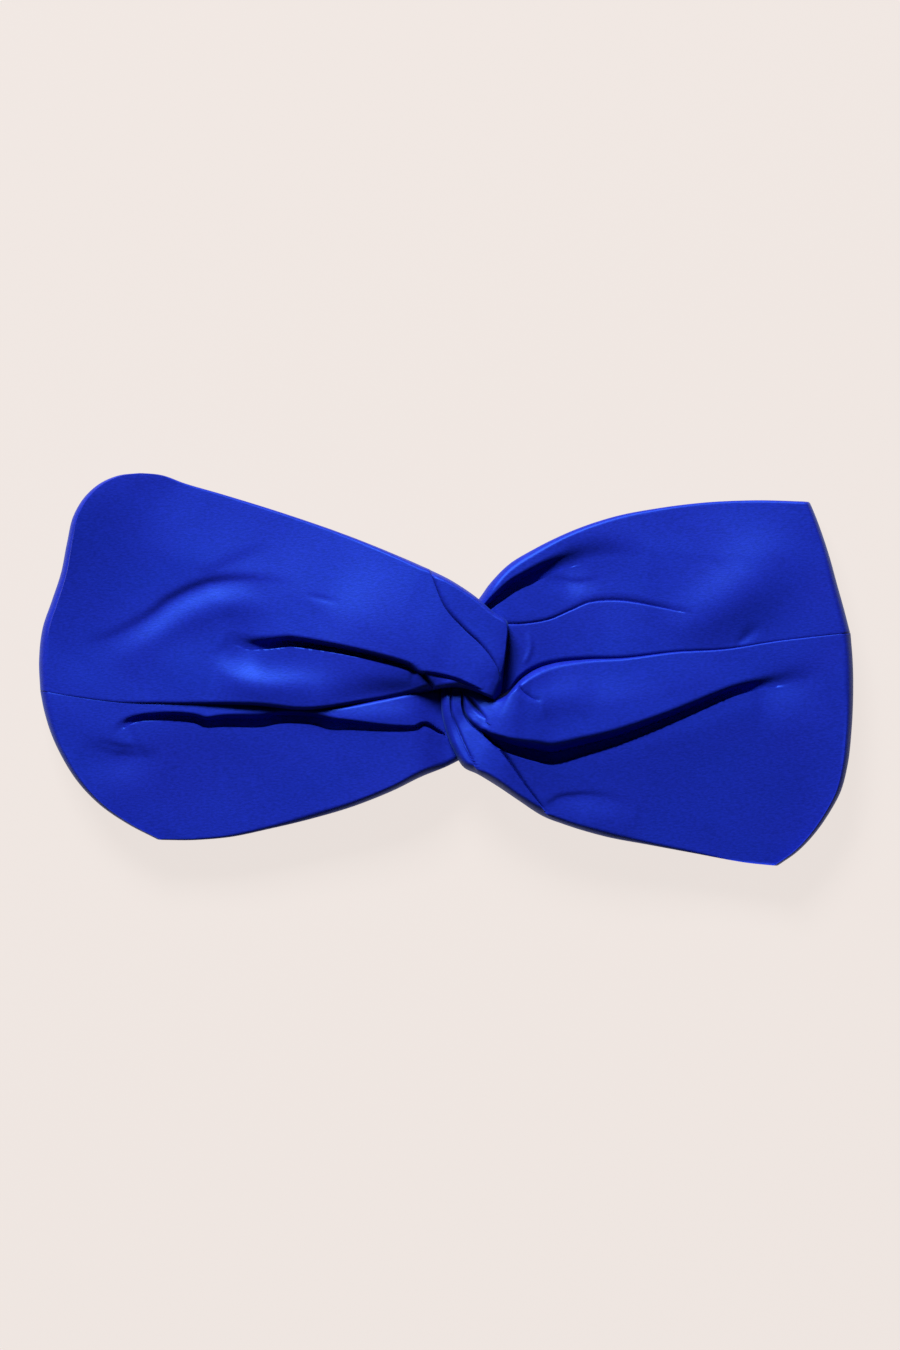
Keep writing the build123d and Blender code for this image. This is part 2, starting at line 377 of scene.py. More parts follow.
def side_layers(fold_rows, inwards, reach, full, crest):
    """The outer and inner rounds of an arm's side fold. inwards is each row's direction away from the
    fold line, and reach is how far in its round runs."""
    outer, inner = [], []
    half = crest / 2
    hollow, hollow_half = (FRONT_LOW + BACK_TOP) / 2, (FRONT_LOW - BACK_TOP) / 2
    # The front's own last column is the round's top, so this starts a step down from it.
    for turn in np.radians(np.linspace(82, -90, 22)):
        out_plan = fold_rows + inwards * reach * (1 - math.cos(turn))
        out = np.column_stack([out_plan, np.full(ROWS, half + half * math.sin(turn))])
        in_plan = fold_rows + inwards * (reach - FOLD_INNER * math.cos(turn))
        inn = np.column_stack([in_plan, np.full(ROWS, hollow + hollow_half * math.sin(turn))])
        mid = inn + (out - inn) * SIDE_CLOSE
        outer.append(mid + (out - mid) * full)
        inner.append(mid + (inn - mid) * full)
    return np.array(outer), np.array(inner)


def back_layers(join, row_places, first_rib, back_ribs, lie):
    """The underside and the top of an arm behind, from where the side fold's round ends, at join, to the
    gathered end."""
    back = np.vstack([np.concatenate([first_rib[:4], [BACK_TOP]]), np.asarray(back_ribs, float)])
    knots = lengths((back[:, :2] + back[:, 2:4]) / 2)
    count = int((knots[-1] - FOLD_REACH) / BACK_GRID)
    start = through(back, [FOLD_REACH], knots)[0]
    gap = join - (start[:2] + row_places[:, None] * (start[2:4] - start[:2]))
    outer, inner = [], []
    for place in np.linspace(FOLD_REACH, knots[-1], count)[1:]:
        rib = through(back, [place], knots)[0]
        straight = rib[:2] + row_places[:, None] * (rib[2:4] - rib[:2])
        plan = straight + gap * (1 - smoothly((place - FOLD_REACH) / BACK_EASE))
        # The gathers grow over the half of the length before the last twentieth.
        gather = smoothly((place - 0.45 * knots[-1]) / (0.5 * knots[-1]))
        full = rounded(row_places, np.linalg.norm(rib[2:4] - rib[:2]), BACK_ROUND, BACK_ROUND)
        across = row_places * 2 * np.pi * GATHERS + lie
        low = gather * 0.9 * (0.5 - 0.5 * np.cos(across))
        high = rib[4] - gather * 0.35 * (0.5 - 0.5 * np.cos(across + 0.8))
        mid = (low + high) / 2
        outer.append(np.column_stack([plan, mid + (low - mid) * full]))
        inner.append(np.column_stack([plan, mid + (high - mid) * full]))
    return np.array(outer), np.array(inner)


def arm(fold, ribs, back_ribs, folds, lie, seam_low):
    """Outer and inner surfaces of one arm of a silk strip, from the end inside the twist, out along the
    front, round the side fold and back behind, and how many of their columns are the front's. fold runs
    from the low corner to the high one. A rib is (low x, low y, high x, high y, low edge level, high
    edge level, crest level, low round, high round), from the fold inwards. A back rib is (low x, low y,
    high x, high y, level of the top). folds are the marks in the front, and lie sets how its waves and
    gathers fall."""
    ribs, fold = pressed_to_seam(ribs, fold, seam_low)
    fold_at = lengths(fold)
    row_places = spread(fold_at[-1])
    fold_rows = through(fold, row_places * fold_at[-1], fold_at)
    bulge = fold_rows - (ribs[0, :2] + row_places[:, None] * (ribs[0, 2:4] - ribs[0, :2]))
    knots = lengths((ribs[:, :2] + ribs[:, 2:4]) / 2)

    def front_row(place):
        rib = through(ribs, [place], knots)[0]
        length = np.linalg.norm(rib[2:4] - rib[:2])
        v = spread(max(length, 2.0))
        plan = rib[:2] + v[:, None] * (rib[2:4] - rib[:2])
        return plan + bulge * (1 - smoothly(place / FOLD_EASE)), v, length, rib

    inwards = front_row(FOLD_REACH)[0] - fold_rows
    reach = np.linalg.norm(inwards, axis=1)[:, None]
    inwards = inwards / reach
    count = int((knots[-1] - FOLD_REACH) / GRID)
    side_full = rounded(row_places, fold_at[-1], ribs[0, 7], ribs[0, 8])[:, None]
    front = front_layers(front_row, np.linspace(knots[-1], FOLD_REACH, count), folds, lie)
    side = side_layers(fold_rows, inwards, reach, side_full, ribs[0, 6])
    back = back_layers(fold_rows + inwards * reach, row_places, ribs[0], back_ribs, lie)
    outer, inner = (np.concatenate(layers) for layers in zip(front, side, back))
    return outer, inner, count


def filling(outer, inner):
    """The wadding inside the front of an arm, kept clear of its edges and following its folds."""
    columns, rows = outer.shape[:2]
    # It ends before the twist, which takes the first quarter of the columns.
    pick = np.ix_(range(columns // 4, columns - 6, 2), range(10, rows - 10, 2))
    top = lowest_near(outer[:, :, 2], 3)[pick] - PAD_CLEAR
    low = -lowest_near(-inner[:, :, 2], 2)[pick] + PAD_CLEAR
    plan = inner[pick][:, :, :2]
    aside = np.minimum(np.arange(top.shape[1]), np.arange(top.shape[1])[::-1])
    full = np.sqrt(np.clip(aside / 3.0, 0, 1))[None, :]
    middle = (top + low) / 2
    half = np.maximum(top - low, 0.1) / 2 * full
    return sleeve(np.dstack([plan, middle + half]), np.dstack([plan, middle - half]))


# ---------------------------------------------------------------- the four arms


# The side folds, each from its low corner to its high one.
left_fold_upper = [
    (-124.4, -6.4), (-124.9, 3), (-123.8, 12.7), (-121, 21), (-118.2, 29.5), (-116.3, 39),
    (-114.4, 47), (-111, 52.8), (-106, 57.2), (-100.5, 59.5), (-94.5, 60.2),
]
left_fold_lower = [
    (-88.4, -52.2), (-98, -47.2), (-106.5, -41.3), (-113, -34.5), (-118, -26.6), (-121.3, -19.4),
    (-123.4, -12.4), (-124.4, -6.8),
]
right_fold_lower = [
    (101.7, -60.2), (108, -55.7), (112.9, -50.6), (117.7, -43.8), (121.1, -37.4), (123.2, -29.4),
    (124.4, -19), (124.9, -9), (124.8, 2), (124, 10.9),
]
right_fold_upper = [
    (124, 11.3), (122.1, 18.5), (120, 26), (117.7, 34.4), (115.3, 41.8), (112.9, 48.2), (111.5, 51.4),
]

# Ribs across the front, from the side fold into the twist.
left_upper_ribs = [
    (-124.4, -6.6, -94.5, 60.2, 12.4, EDGE, 13.0, 0.5, 0.6),
    (-112.6, -8.5, -87.0, 59.5, 12.5, EDGE, 13.2, 0.6, 0.6),
    (-101, -10.0, -80, 57.0, 12.6, EDGE, 13.4, 0.8, 0.6),
    (-86.4, -10.6, -69, 53.8, 11.8, EDGE, 14.4, 1.2, 0.6),
    (-57, -11.2, -46, 46.6, 10.2, EDGE, 15.6, 1.5, 0.6),
    (-43.2, -12.6, -33, 42.1, 9.8, EDGE, 16.2, 1.6, 0.7),
    (-25.1, -10.3, -17, 35.8, 10.5, EDGE, 18.2, 1.8, 0.9),
    (-14.7, -8.7, -6, 31.0, 11.8, 11.6, 19.4, 2.4, 1.3),
    (-5.8, -6.5, 3, 26.4, 14.5, 13.2, 20.8, 2.2, 1.3),
    (-1.8, -5.6, 8.6, 22.6, 17.5, 15.0, 21.3, 1.4, 1.2),
    (3.4, -5.2, 14.3, 17.7, 18.5, 16.5, 21.7, 1.2, 1.1),
    (7.2, -5.9, 18.9, 14.0, 19.3, 17.5, 21.9, 1.1, 1.0),
    (10.2, -6.9, 18.7, 9.5, 19.2, 17.5, 21.8, 1.0, 1.0),
    (12.6, -8.0, 18.1, 4.0, 18.7, 17.5, 21.4, 0.9, 0.9),
    (14.4, -9.0, 17.4, -2.0, 17.3, 16.5, 20.0, 0.8, 0.8),
    (15.3, -10.2, 16.9, -6.6, 14.0, 14.0, 16.5, 0.8, 0.8),
]
left_lower_ribs = [
    (-88.4, -52.2, -124.4, -6.6, EDGE, 12.6, 13.0, 0.8, 0.4),
    (-76, -52.2, -101, -10.0, EDGE, 12.8, 13.3, 0.9, 0.4),
    (-66, -51.3, -86.4, -10.6, EDGE, 12.6, 13.3, 1.0, 0.5),
    (-54, -48.8, -70, -10.5, EDGE, 12.6, 13.4, 1.2, 0.6),
    (-40, -45.4, -50, -12.0, EDGE, 13.2, 14.0, 2.0, 0.7),
    (-28, -41.8, -34, -12.0, EDGE, 14.2, 15.0, 2.0, 0.7),
    (-16, -37.0, -20, -9.6, EDGE, 14.9, 15.8, 2.0, 0.8),
    (-7, -32.6, -9.5, -7.5, EDGE, 14.6, 15.6, 2.4, 0.9),
    (0, -29.8, -3, -6.4, EDGE, 11.2, 13.0, 2.4, 1.5),
    (5, -27.4, 2, -7.0, 9.0, 9.8, 12.0, 2.0, 2.0),
    (12, -25.0, 9, -9.0, 8.6, 9.0, 11.0, 2.0, 2.0),
    (18, -19.0, 14, -10.0, 8.4, 8.6, 10.5, 2.0, 2.0),
]
right_lower_ribs = [
    (101.7, -60.2, 124, 11.1, EDGE, 12.6, 13.0, 0.8, 0.3),
    (90, -58.9, 101.1, 8.4, EDGE, 12.8, 13.4, 0.9, 0.3),
    (76, -56.3, 85.5, 6.0, EDGE, 12.8, 13.8, 1.0, 0.4),
    (62, -53.7, 69.9, 5.1, EDGE, 12.8, 14.4, 1.2, 0.5),
    (48, -51.0, 54.2, 3.2, EDGE, 13.0, 15.4, 2.0, 0.7),
    (36, -47.4, 42, 2.7, EDGE, 13.2, 16.6, 1.8, 1.2),
    (29, -44.6, 33.4, 1.7, EDGE, 13.6, 17.8, 2.0, 2.0),
    (22, -40.0, 27.3, -0.3, EDGE, 14.5, 19.2, 2.2, 2.8),
    (15, -35.3, 22.7, -3.4, 11.2, 15.5, 20.4, 2.6, 3.0),
    (9.5, -32.0, 20.3, -5.9, 11.6, 16.0, 20.2, 2.2, 2.6),
    (5.4, -30.0, 18.4, -8.0, 12.0, 16.0, 19.4, 2.0, 2.4),
    (2.4, -25.0, 15.8, -8.9, 13.0, 15.5, 18.4, 1.8, 2.2),
    (0.4, -20.0, 13.0, -8.3, 13.5, 15.0, 17.4, 1.8, 2.0),
    (-1.2, -14.0, 11.0, -7.0, 13.9, 15.0, 17.4, 1.6, 2.0),
    (-1.6, -9.0, 9.4, -6.0, 13.6, 14.6, 17.1, 1.5, 2.0),
    (-1.2, -4.0, 8.2, -3.0, 12.0, 12.5, 14.2, 1.6, 2.0),
    (1, 4.0, 9, 5.0, 10.5, 10.5, 12.5, 1.6, 2.0),
]
right_upper_ribs = [
    (124, 11.1, 111.5, 51.4, 12.0, EDGE, 13.0, 0.8, 0.8),
    (101.1, 8.4, 94, 51.8, 12.0, EDGE, 13.2, 1.0, 0.7),
    (85.5, 6.0, 80, 51.2, 11.8, EDGE, 13.4, 1.2, 0.7),
    (69.9, 5.1, 65, 49.4, 11.6, EDGE, 13.6, 1.4, 0.8),
    (54.2, 3.2, 50, 46.4, 11.2, EDGE, 13.8, 1.8, 1.1),
    (42, 2.7, 37, 41.8, 10.6, EDGE, 14.0, 2.2, 1.5),
    (34, 1.7, 27, 36.9, 10.0, EDGE, 14.2, 2.4, 2.2),
    (27.3, -0.3, 19, 32.0, 9.6, EDGE, 15.0, 2.4, 2.6),
    (22.4, -3.4, 13.5, 26.4, 9.2, EDGE, 15.8, 2.0, 3.0),
    (18.6, -8.0, 9.5, 21.0, 9.0, 9.2, 14.2, 2.0, 3.0),
    (13.5, -8.5, 4, 15.5, 8.6, 8.8, 12.0, 2.0, 3.0),
    (8, -6.0, 0, 9.0, 8.4, 10.4, 12.0, 2.0, 2.0),
    (1.5, -7.6, -6, 6.0, 8.1, 10.2, 11.0, 2.0, 2.0),
    (-7, -8.4, -13, 2.0, 7.9, 8.0, 9.2, 2.0, 2.0),
]

# Ribs across the back, from beside the side fold to the gathered end on the elastic's casing.
left_back_upper = [
    (-98, -6.2, -82, 44, 2.6),
    (-76, -6.0, -69, 25, 2.7),
    (-57, -6.0, -57, 11, 4.4),
    (-47.6, -6.0, -47.6, 11, 4.6),
]
left_back_lower = [
    (-79, -44, -98, -6.2, 2.6),
    (-68, -33, -76, -6.0, 2.7),
    (-57, -23, -57, -6.0, 4.4),
    (-47.6, -23, -47.6, -6.0, 4.6),
]
right_back_upper = [
    (98, -3.0, 92, 42, 2.6),
    (76, -5.5, 73, 25, 2.7),
    (57, -6.0, 57, 11, 4.4),
    (47.6, -6.0, 47.6, 11, 4.6),
]
right_back_lower = [
    (88, -50, 98, -3.0, 2.6),
    (71, -35, 76, -5.5, 2.7),
    (57, -23, 57, -6.0, 4.4),
    (47.6, -23, 47.6, -6.0, 4.6),
]

# The marks in each arm's front, in the order in which they are pressed in.
left_upper_folds = [
    # The wing's top corner turns up a little.
    Swell([(-146, 24, 1.5, 22), (-120, 50, 5.2, 22), (-94, 76, 1.5, 22)]),
    # Above this line the cloth falls away to the top edge.
    Tilt([(-108, 40, 0.0), (-88, 35, 0.06), (-72, 30, 0.11), (-52, 24, 0.10), (-34, 16, 0.07),
          (-16, 9, 0.0)], reach=30.0),
    # The far strip of the flap at the twist lifts a little.
    Tilt([(-6.8, 34.5, 0.0), (-4.8, 29.5, -0.01), (-0.6, 19.1, -0.04), (5.2, 12.4, -0.06),
          (10.1, 7.8, -0.06), (13.5, 3.8, -0.03), (17.0, -4.0, 0.0)]),
    # A broad ridge below the long crease.
    Swell([(-72, -2, 0.0, 7), (-62, -5.0, 0.9, 7), (-48, -7, 1.3, 7), (-34, -7.5, 0.9, 6),
           (-22, -7, 0, 5)]),
    # The cloth below the long crease sinks towards the knot.
    Swell([(-38, -10, 0, 6), (-28, -9.6, -1.8, 6), (-18, -8.4, -2.9, 5), (-10, -7.6, -3.2, 4.4),
           (-4, -7.2, -2.4, 3.4), (1, -7, 0, 3)]),
    # The wing's S-shaped pull line.
    Swell([(-111, 6.8, 0, 2.2), (-103, 9.2, -0.4, 2.0), (-95.1, 13.2, -0.55, 1.8),
           (-89, 17.2, -0.75, 1.6), (-83.2, 21.6, -0.9, 1.5), (-73, 26.0, -0.9, 1.5),
           (-62.8, 27.0, -0.6, 1.7), (-54, 26.0, -0.25, 2), (-46, 25, 0, 2)], below=2.6),
    # Its faint second branch.
    Swell([(-76, 27.4, 0, 2), (-70, 30, -0.25, 2.2), (-62, 33.4, -0.3, 2.6), (-52, 37, 0, 3)], below=2.5),
    # A short dip over the start of the long crease.
    Swell([(-66, 20, 0, 3), (-64.5, 15, -0.3, 3.2), (-62, 11, -0.3, 3), (-58, 8.6, 0, 2)]),
    # The soft rim round that start.
    Swell([(-70, 5, 0, 3.2), (-67.5, 0.2, 0.4, 3.6), (-62.5, -3.4, 0.55, 3.8), (-54, -4.9, 0.6, 3.8),
           (-45, -4.4, 0.35, 3.6), (-36, -4.6, 0, 3.2)]),
    # A low ridge under the pull line.
    Swell([(-100, 2.6, 0, 4.0), (-92, 7.8, 0.25, 3.8), (-82, 13.8, 0.4, 3.8), (-71, 18.6, 0.4, 3.8),
           (-60, 19.6, 0.2, 3.8), (-50, 18.6, 0, 3.8)]),
    # A hairline ripple in the sheen.
    Swell([(-43.5, 23.0, 0, 0.9), (-38, 21.6, -0.14, 0.9), (-32, 20.2, 0, 0.9)]),
    # The long crease, from the middle of the wing into the knot.
    Crease([(-68, 9.4, 0, 5.0), (-64, 7.2, 0.7, 5.0), (-60, 5.9, 1.6, 5.0), (-55, 5.8, 3.0, 4.8),
            (-50, 6.3, 4.6, 4.4), (-45.6, 6.4, 5.8, 4.0), (-30.9, 4.1, 7.4, 3.5), (-16.2, 0.7, 6.5, 3.3),
            (-10.4, -1.3, 5, 3.0), (-6.2, -4.4, 3.4, 2.0), (-3.5, -7.0, 2, 1.6), (-2.0, -9.0, 0, 1.0)],
           floor=0.5, crest=0.5, lift=2.4, reach=25.0, crisp=3.0, soft=10.0),
    # The second strand, under the lower edge of the flap.
    Crease([(-11, -0.9, 0, 1.0), (-4.5, -2.0, 2.0, 1.6), (2.5, -3.6, 2.2, 1.6), (8, -5.6, 1.5, 1.2),
            (11.5, -6.8, 0, 0.8)], hang=0.3, crisp=0.8),
    # The line across the flap.
    Crease([(-4.8, 29.5, 0.8, 1.2), (-0.6, 19.1, 1.5, 1.6), (5.2, 12.4, 1.5, 1.6), (10.1, 7.8, 1.4, 1.5),
            (13.5, 3.8, 1.1, 1.2), (15.6, 0.2, 0.6, 0.8), (16.6, -3.4, 0.0, 0.6)],
           hang=0.2, floor=0.1, crisp=0.6),
]
left_lower_folds = [
    # A low ridge under the seam.
    Swell([(-60, -13.5, 0, 4), (-44, -14.2, 0.5, 4), (-30, -14.6, 0.6, 4), (-14, -14, 0.5, 4),
           (-6, -12, 0, 4)]),
    # A shallow dimple near the side fold.
    Swell([(-112, -23.6, 0, 3), (-101.4, -26.4, -0.9, 2.6), (-97, -26.8, -1.0, 2.6), (-87, -27.8, 0, 3)],
          below=2.6),
    # A fine line over it.
    Swell([(-108, -21.6, 0, 1), (-100, -23.6, -0.2, 1), (-92, -24.4, 0, 1)]),
    # Below this line the cloth falls away to the bottom edge.
    Tilt([(0, -20, 0.0), (-30, -19, 0.01), (-65, -18, 0.05), (-95, -17, 0.06), (-124, -16, 0.0)],
         reach=34.0),
    # The wavy crease under the seam.
    Crease([(-101.4, -20.4, 0, 3.2), (-98.2, -17.9, 0.7, 3.0), (-94, -16.3, 2.3, 2.8),
            (-88, -16.0, 3.6, 3.2), (-82, -16.2, 4.4, 3.5), (-77.2, -16.8, 4.8, 3.6),
            (-73.4, -18.1, 5.0, 4.0), (-66.8, -17.9, 5.2, 4.6), (-57, -18.1, 5.2, 5.0),
            (-50.4, -16.9, 5.0, 4.6), (-41.7, -17.1, 5.0, 4.4), (-35.5, -18.7, 4.8, 4.6),
            (-29.4, -18.8, 4.2, 3.8), (-18, -19.3, 3.4, 2.8), (-9.5, -19.1, 2.8, 2.2),
            (-6.5, -17.8, 2.8, 2.0), (-2, -20.1, 2.4, 1.6)],
           floor=0.6, crest=0.3, lift=0.5, reach=6.0, soft=14.0),
]
right_lower_folds = [
    # The deep crease out of the knot.
    Crease([(11.6, -20.1, 3.0, 2.4), (15, -23.2, 6.0, 4.2), (20, -26.2, 8.5, 6.0), (27, -28.4, 9.5, 7.4),
            (33.1, -29.4, 9.5, 7.8), (42.6, -26.8, 8.5, 7.0), (54.2, -23.1, 7.2, 6.0),
            (69.9, -16.7, 6.0, 5.0), (85.5, -9.7, 4.4, 4.4), (92, -7.4, 3.0, 4.4), (98, -6.0, 1.5, 4.6),
            (105, -4.6, 0.5, 4.8), (112, -3.6, 0, 5.0)],
           floor=0.5, crest=0.6, lift=1.8, reach=18.0, soft=14.0, crisp=3.0),
    # Its shallow end.
    Swell([(92, -6, 0, 4), (99, -4.6, -0.4, 3.4), (107, -3.2, -0.5, 3.4), (116, -2.6, 0, 4)], below=2.0),
    # Above this line the cloth over the deep crease falls away.
    Tilt([(0, -16, 0.0), (16, -15, 0.05), (30, -14, 0.12), (45, -12, 0.13), (65, -8, 0.06), (85, -3, 0.0)],
         reach=18.0),
    # A soft ridge beside the knot.
    Swell([(24, -12.5, 0, 4.5), (29.5, -10, 0.7, 4.5), (37, -8.4, 0.5, 4.5), (46, -6.5, 0, 4.5)]),
    # Below this line the cloth falls away to the bottom edge.
    Tilt([(126, -4, 0.0), (100, -8, 0.09), (70, -19, 0.08), (42, -29, 0.03), (24, -31, 0.0)], reach=40.0),
    # The wrapped strand's outer fold.
    Crease([(0.8, -5.0, 0.5, 0.8), (1.2, -13, 1.0, 1.2), (3.4, -18.8, 1.2, 1.3), (6.1, -24.7, 1.0, 1.2),
            (9.4, -31.0, 0.4, 1.0)], hang=0.2, crisp=0.6),
    # Its inner fold, which runs down to the bottom edge.
    Crease([(3.4, -5.0, 0.5, 1.0), (4.3, -11.2, 2.2, 1.6), (6.4, -16.1, 2.8, 1.8),
            (11.6, -20.6, 3.0, 2.0), (17.5, -26.6, 2.6, 1.8), (23.9, -35.6, 1.8, 1.4),
            (29.9, -43.2, 0.6, 1.0)], hang=0.3, crisp=0.8),
    # The small tuck in the knot.
    Crease([(5.6, -7.6, 0.5, 1.0), (8.3, -11.3, 3.0, 1.6), (11.5, -14.9, 0.6, 1.2)],
           edge=1.2, hang=0.3, crisp=0.8),
    # A nick in the cloth beside the knot.
    Crease([(20.6, -3.4, 0, 0.8), (22.2, -5.2, 1.0, 1.2), (24, -7.3, 0.9, 1.4), (27.4, -9.4, 0.4, 1.4),
            (29.4, -9.8, 0, 0.8)], edge=2.0, hang=0.0, floor=0.0, crisp=0.6),
    # A shallow pull line by the bottom edge.
    Swell([(29.8, -42.6, 0, 1.2), (32, -41.0, -0.3, 1.0), (35.8, -39.0, -0.4, 0.9),
           (44.4, -38.6, -0.35, 1.1), (52, -40.8, -0.2, 2), (58, -44, 0, 2)], below=3.5),
    # A low ridge under it.
    Swell([(36, -46, 0, 4), (46, -46, 0.5, 5), (60, -46, 0, 5)]),
]
right_upper_folds = [
    # Above this line the cloth falls away to the top edge.
    Tilt([(24, 24, 0.0), (40, 36, 0.05), (60, 36, 0.09), (84, 34, 0.11), (112, 34, 0.0)], reach=20.0),
    # A small dent on the seam.
    Swell([(90, 8.6, -0.3, 1.0), (92.5, 10.6, -0.45, 1.7), (96.5, 14.0, 0, 1.8)]),
    # The dark fold at the top of the knot.
    Crease([(11.5, 15.8, 4.4, 2.2), (14.2, 18.2, 5.2, 3.4), (21.1, 23.2, 5.8, 4.8),
            (25.9, 25.6, 5.2, 5.4), (31.0, 28.2, 3.2, 5.8), (37, 30.9, 1.2, 6.0), (44, 32.8, 0, 6.4)],
           floor=0.6, soft=12.0, crisp=3.0),
    # Its shallow end.
    Swell([(29, 28.6, 0, 3), (35, 31.3, -0.9, 3.2), (42, 33.6, -1.4, 3.8), (50, 34.4, -1.1, 4.6),
           (62, 33.8, 0, 5)], below=4.0),
    # A fine curl under it.
    Swell([(30, 28.4, 0, 1), (35, 27.2, -0.3, 1.0), (41, 26.4, -0.3, 1.2), (49, 27.6, 0, 1.6)], below=2.5),
    # The fine crease along the wing.
    Crease([(17, 13.8, 0.5, 1.0), (24, 13.9, 0.7, 1.2), (31.6, 15.2, 0.7, 1.6), (38.6, 18.2, 0.7, 2.0),
            (44.7, 20.6, 0.7, 2.4), (54.2, 20.9, 0.8, 2.8), (65.3, 19, 0.6, 2.4), (76, 16.6, 0, 2)],
           edge=0.5, hang=0.2, floor=0.1, crisp=0.6),
    # A hooked ripple beside the knot.
    Swell([(24.8, 11.5, 0, 0.8), (25.6, 8.5, 0.35, 0.8), (25.7, 6, 0.4, 0.8), (24.8, 3.4, 0.3, 0.8),
           (23.4, 1.4, 0, 0.8)]),
    # The wing's broad slanting ridge.
    Swell([(66, 12, 0, 8), (80, 17, 1.8, 9), (92, 25, 2.3, 10), (102, 36, 0.6, 10), (108, 48, 0, 10)]),
]


# ---------------------------------------------------------------- materials


class Finish:
    """A procedural material whose pattern is laid out in metres, in the frame's axes."""

    def __init__(self, name):
        """An empty finish, whose shader is the material's own Principled BSDF."""
        self.material = bpy.data.materials.new(name)
        self.material.use_nodes = True
        self.nodes, self.links = self.material.node_tree.nodes, self.material.node_tree.links
        self.shader = self.nodes["Principled BSDF"]
        self.coord = self.nodes.new("ShaderNodeTexCoord")

    def noise(self, scale, detail=3.0):
        """Noise stretched by scale, which is about how many of its spots there are in a metre along X, Y
        and Z."""
        place = self.nodes.new("ShaderNodeMapping")
        place.inputs["Scale"].default_value = scale
        self.links.new(self.coord.outputs["Object"], place.inputs["Vector"])
        texture = self.nodes.new("ShaderNodeTexNoise")
        texture.inputs["Scale"].default_value = 1.0
        texture.inputs["Detail"].default_value = detail
        self.links.new(place.outputs["Vector"], texture.inputs["Vector"])
        return texture.outputs["Fac"]

    def waves(self, direction, per_metre, distortion=0.0):
        """Ridges across one axis, such as a twill's or a ply's: about per_metre ridges and grooves together
        in a metre."""
        texture = self.nodes.new("ShaderNodeTexWave")
        texture.bands_direction = direction
        texture.inputs["Scale"].default_value = per_metre / 20.0 * math.pi
        texture.inputs["Distortion"].default_value = distortion
        self.links.new(self.coord.outputs["Object"], texture.inputs["Vector"])
        return texture.outputs["Fac"]

    def both(self, first, second):
        """Two patterns multiplied together."""
        mix = self.nodes.new("ShaderNodeMath")
        mix.operation = "MULTIPLY"
        self.links.new(first, mix.inputs[0])
        self.links.new(second, mix.inputs[1])
        return mix.outputs["Value"]

    def ramp(self, fac, low, high, low_at=0.3, high_at=0.7):
        """A pattern turned into colours between low and high."""
        ramp = self.nodes.new("ShaderNodeValToRGB")
        ramp.color_ramp.elements[0].position = low_at
        ramp.color_ramp.elements[0].color = (*low, 1)
        ramp.color_ramp.elements[1].position = high_at
        ramp.color_ramp.elements[1].color = (*high, 1)
        self.links.new(fac, ramp.inputs["Fac"])
        return ramp.outputs["Color"]

    def colour(self, source):
        """Colours the surface by a pattern."""
        self.links.new(source, self.shader.inputs["Base Color"])

    def bump(self, height, strength, distance):
        """Fine relief from a pattern, on top of the mesh's own shape."""
        bump = self.nodes.new("ShaderNodeBump")
        bump.inputs["Strength"].default_value = strength
        bump.inputs["Distance"].default_value = distance
        self.links.new(height, bump.inputs["Height"])
        self.links.new(bump.outputs["Normal"], self.shader.inputs["Normal"])

    def set(self, **values):
        """Sets the shader's own sockets, whose names are given with _ for a space."""
        for name, value in values.items():
            self.shader.inputs[name.replace("_", " ")].default_value = value


def silk_finish():
    """Royal blue silk: a fine slubby weave whose colour drifts a little, with a soft cool sheen."""
    silk = Finish("royal_silk")
    slub = silk.noise((900, 2000, 900), detail=3.0)
    drift = silk.noise((34, 48, 34), detail=2.0)
    weave = silk.ramp(slub, (0.0030, 0.0058, 0.130), (0.0062, 0.0128, 0.272))
    cloud = silk.ramp(drift, (0.0052, 0.0080, 0.190), (0.0042, 0.0110, 0.210))
    blend = silk.nodes.new("ShaderNodeMix")
    blend.data_type = "RGBA"
    blend.inputs["Factor"].default_value = 0.5
    silk.links.new(weave, blend.inputs["A"])
    silk.links.new(cloud, blend.inputs["B"])
    silk.colour(blend.outputs["Result"])
    silk.bump(slub, 0.20, 0.0002)
    silk.set(Roughness=0.50, Metallic=0.16, Specular_IOR_Level=0.24, Specular_Tint=(0.1, 0.5, 1.0, 1))
    silk.set(Sheen_Weight=0.04, Sheen_Roughness=0.4, Sheen_Tint=(0.2, 0.5, 1.0, 1))
    return silk.material


def wadding_finish():
    """Off-white polyester wadding, matted and fibrous."""
    wadding = Finish("white_wadding")
    fibres = wadding.noise((420, 420, 900), detail=6.0)
    wadding.colour(wadding.ramp(fibres, (0.62, 0.61, 0.58), (0.86, 0.85, 0.83)))
    wadding.bump(fibres, 0.6, 0.0006)
    wadding.set(Roughness=0.95, Specular_IOR_Level=0.1, Sheen_Weight=0.3)
    return wadding.material


def thread_finish():
    """Blue sewing thread: plies twist round it, and it is a little brighter than the silk."""
    thread = Finish("blue_thread")
    ply = thread.waves("DIAGONAL", 2600, 0.4)
    thread.colour(thread.ramp(ply, (0.003, 0.007, 0.13), (0.007, 0.017, 0.28)))
    thread.bump(ply, 0.5, 0.0001)
    thread.set(Roughness=0.5, Specular_IOR_Level=0.3, Sheen_Weight=0.1)
    return thread.material


def elastic_finish():
    """Woven elastic: pale ribs lengthwise, crossed by its covering yarn."""
    elastic = Finish("woven_elastic")
    rubber = elastic.waves("Y", 620, 0.3)
    yarn = elastic.waves("X", 1500, 0.8)
    cross = elastic.both(rubber, yarn)
    elastic.colour(elastic.ramp(cross, (0.55, 0.54, 0.51), (0.80, 0.79, 0.76), 0.05, 0.6))
    elastic.bump(cross, 0.7, 0.0003)
    elastic.set(Roughness=0.8, Specular_IOR_Level=0.2)
    return elastic.material


